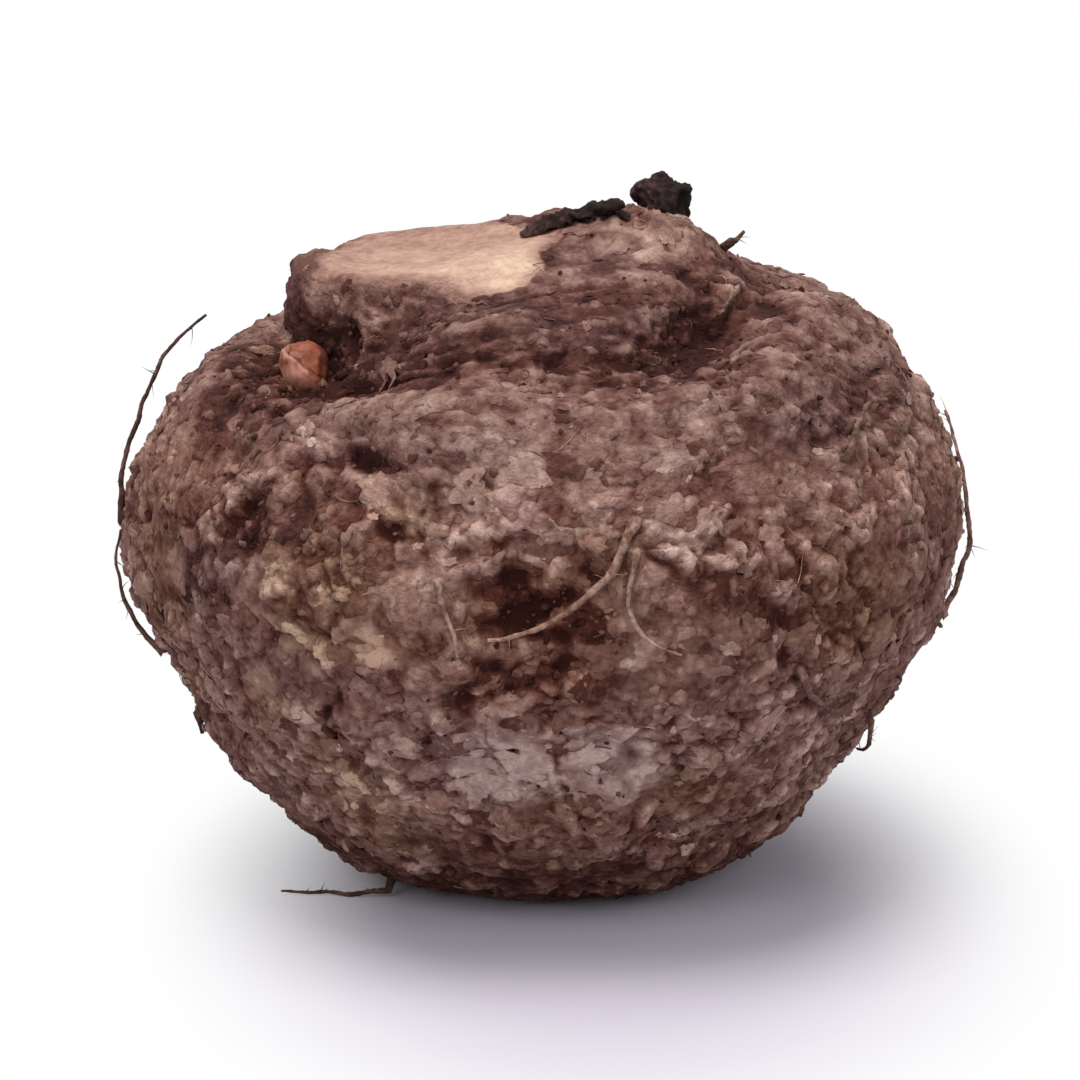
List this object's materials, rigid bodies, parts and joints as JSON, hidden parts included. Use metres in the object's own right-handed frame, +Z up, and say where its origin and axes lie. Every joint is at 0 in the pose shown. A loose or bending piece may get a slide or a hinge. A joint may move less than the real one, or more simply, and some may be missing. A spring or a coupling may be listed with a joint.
{
  "type": "elephant foot yam",
  "caption": "Whole elephant foot yam: a squat rough brown corm with a grooved crown, a worn leaf scar, a side bud and dry roots.",
  "frame": {"origin": "on the ground under the middle of the whole object's box, on the flat base of the corm", "axes": "+Z up through the crown; -Y is the front, with the bud on the left and the leaf scar on the left of the crown; +X is the front's right"},
  "size_m": [0.2134, 0.1984, 0.1734],
  "materials": {
    "skin": "rough corky skin, matt",
    "bud": "smooth fresh bud, slightly waxy",
    "dead_leaf": "withered, matt",
    "root": "dry, fibrous"
  },
  "bodies": {
    "root": {"corm": "skin", "side_bud": "bud", "leaf_base_stub": "dead_leaf", "leaf_sheath_rim": "dead_leaf", "root_left_long": "root", "root_left_short": "root", "root_front_curl": "root", "root_front_hook": "root", "root_front_fork": "root", "root_left_spur": "root", "root_shoulder_right": "root", "root_front_right": "root", "root_right_long": "root", "root_right_low": "root", "root_back_short": "root", "root_back_loop": "root", "root_back_trail": "root", "root_back_left": "root", "root_floor_left": "root", "root_floor_back": "root", "root_crown_spur": "root"}
  },
  "joints": []
}
